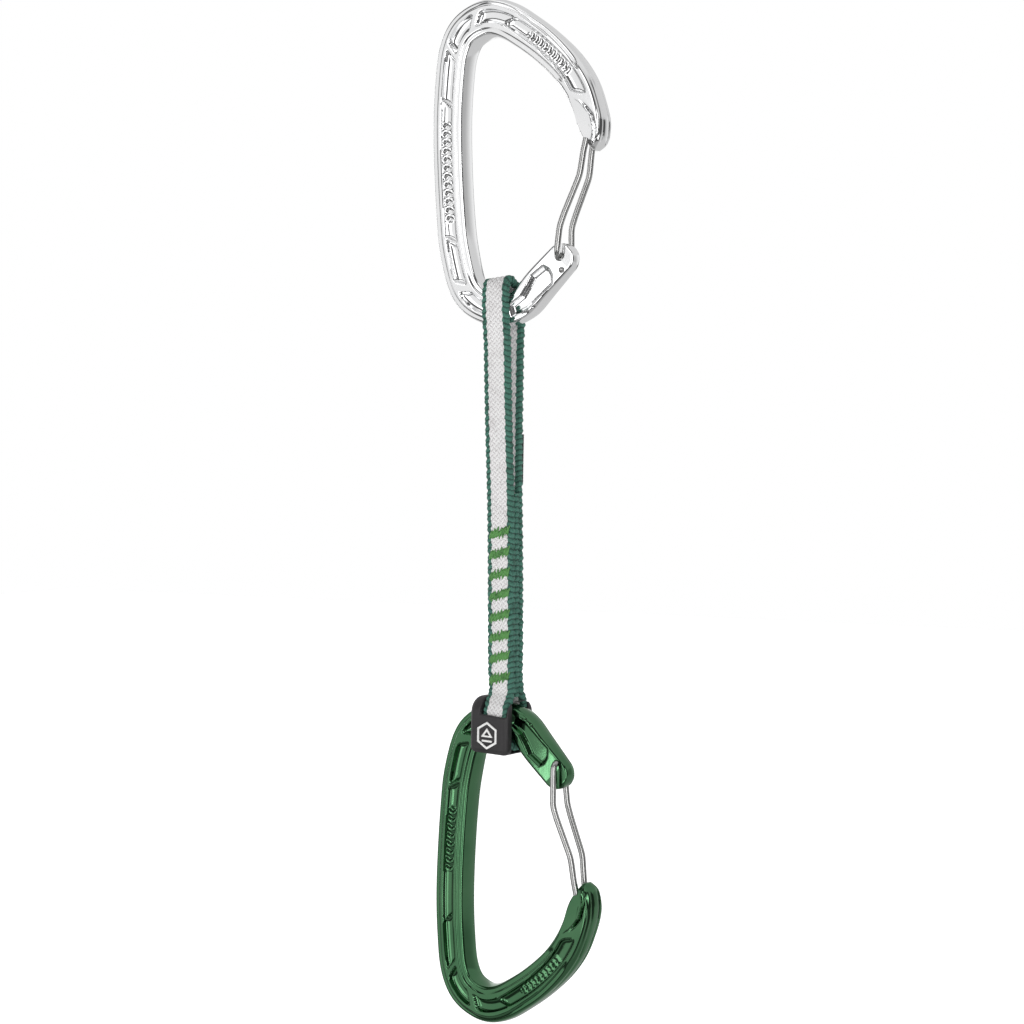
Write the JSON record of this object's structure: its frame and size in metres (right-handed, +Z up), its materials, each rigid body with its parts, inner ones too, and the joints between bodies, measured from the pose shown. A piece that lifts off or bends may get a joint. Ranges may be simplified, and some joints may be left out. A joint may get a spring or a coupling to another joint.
{
  "type": "climbing quickdraw",
  "caption": "Quickdraw: two offset-D wire-gate carabiners joined by a short bartacked tape sling, with a rubber keeper on the rope end.",
  "frame": {"origin": "inner top surface of the upper carabiner, straight above the sling, where the quickdraw hangs from its bolt hanger", "axes": "+Z up along the sling, +X from the spines towards the gates, -Y the front"},
  "size_m": [0.0607, 0.0163, 0.3184],
  "materials": {
    "polished_aluminium": "bright tumble-polished forged aluminium",
    "green_anodised": "glossy green anodised forged aluminium",
    "stainless_wire": "drawn stainless wire, satin",
    "woven_tape": "white woven tape with teal-green selvedges",
    "bartack_thread": "bright green sewing thread",
    "black_label": "matt black woven label",
    "black_rubber": "matt moulded rubber",
    "white_mark": "white raised print"
  },
  "bodies": {
    "upper_carabiner": {"upper_carabiner_body": "polished_aluminium"},
    "upper_gate": {"upper_wire_gate": "stainless_wire"},
    "upper_loop": {"sling_upper_loop": "woven_tape"},
    "sling": {"sling_front_layer": "woven_tape", "sling_middle_layer": "woven_tape", "sling_back_layer": "woven_tape", "bartack_1": "bartack_thread", "bartack_2": "bartack_thread", "bartack_3": "bartack_thread", "bartack_4": "bartack_thread", "bartack_5": "bartack_thread", "bartack_6": "bartack_thread", "bartack_7": "bartack_thread", "bartack_8": "bartack_thread", "sewn_label": "black_label"},
    "lower_loop": {"sling_lower_loop": "woven_tape", "rubber_keeper": "black_rubber", "keeper_badge": "white_mark"},
    "lower_carabiner": {"lower_carabiner_body": "green_anodised"},
    "lower_gate": {"lower_wire_gate": "stainless_wire"}
  },
  "joints": [
    {"name": "upper_gate_hinge", "type": "hinge", "parent": "upper_carabiner", "child": "upper_gate", "pos_m": [0.0208, 0, -0.0677], "axis": [0, -1, 0], "range_deg": [0, 26], "stiffness_Nm_per_rad": 0.35, "springref_deg": -17.19},
    {"name": "upper_loop_swing", "type": "hinge", "parent": "upper_carabiner", "child": "upper_loop", "pos_m": [0, 0, -0.0699], "axis": [0, 1, 0], "range_deg": [-15, 15]},
    {"name": "upper_tape_flex", "type": "hinge", "parent": "upper_loop", "child": "sling", "pos_m": [0, 0, -0.0954], "axis": [1, 0, 0], "range_deg": [-25, 25]},
    {"name": "lower_tape_flex", "type": "hinge", "parent": "sling", "child": "lower_loop", "pos_m": [0, 0, -0.2019], "axis": [1, 0, 0], "range_deg": [-12, 12]},
    {"name": "lower_carabiner_rock", "type": "hinge", "parent": "lower_loop", "child": "lower_carabiner", "pos_m": [0, 0, -0.2235], "axis": [-0.1219, -0.9925, 0], "range_deg": [-6, 6]},
    {"name": "lower_gate_hinge", "type": "hinge", "parent": "lower_carabiner", "child": "lower_gate", "pos_m": [0.02055, -0.00252, -0.2265], "axis": [0.1219, 0.9925, 0], "range_deg": [0, 26], "stiffness_Nm_per_rad": 0.35, "springref_deg": -17.19}
  ]
}
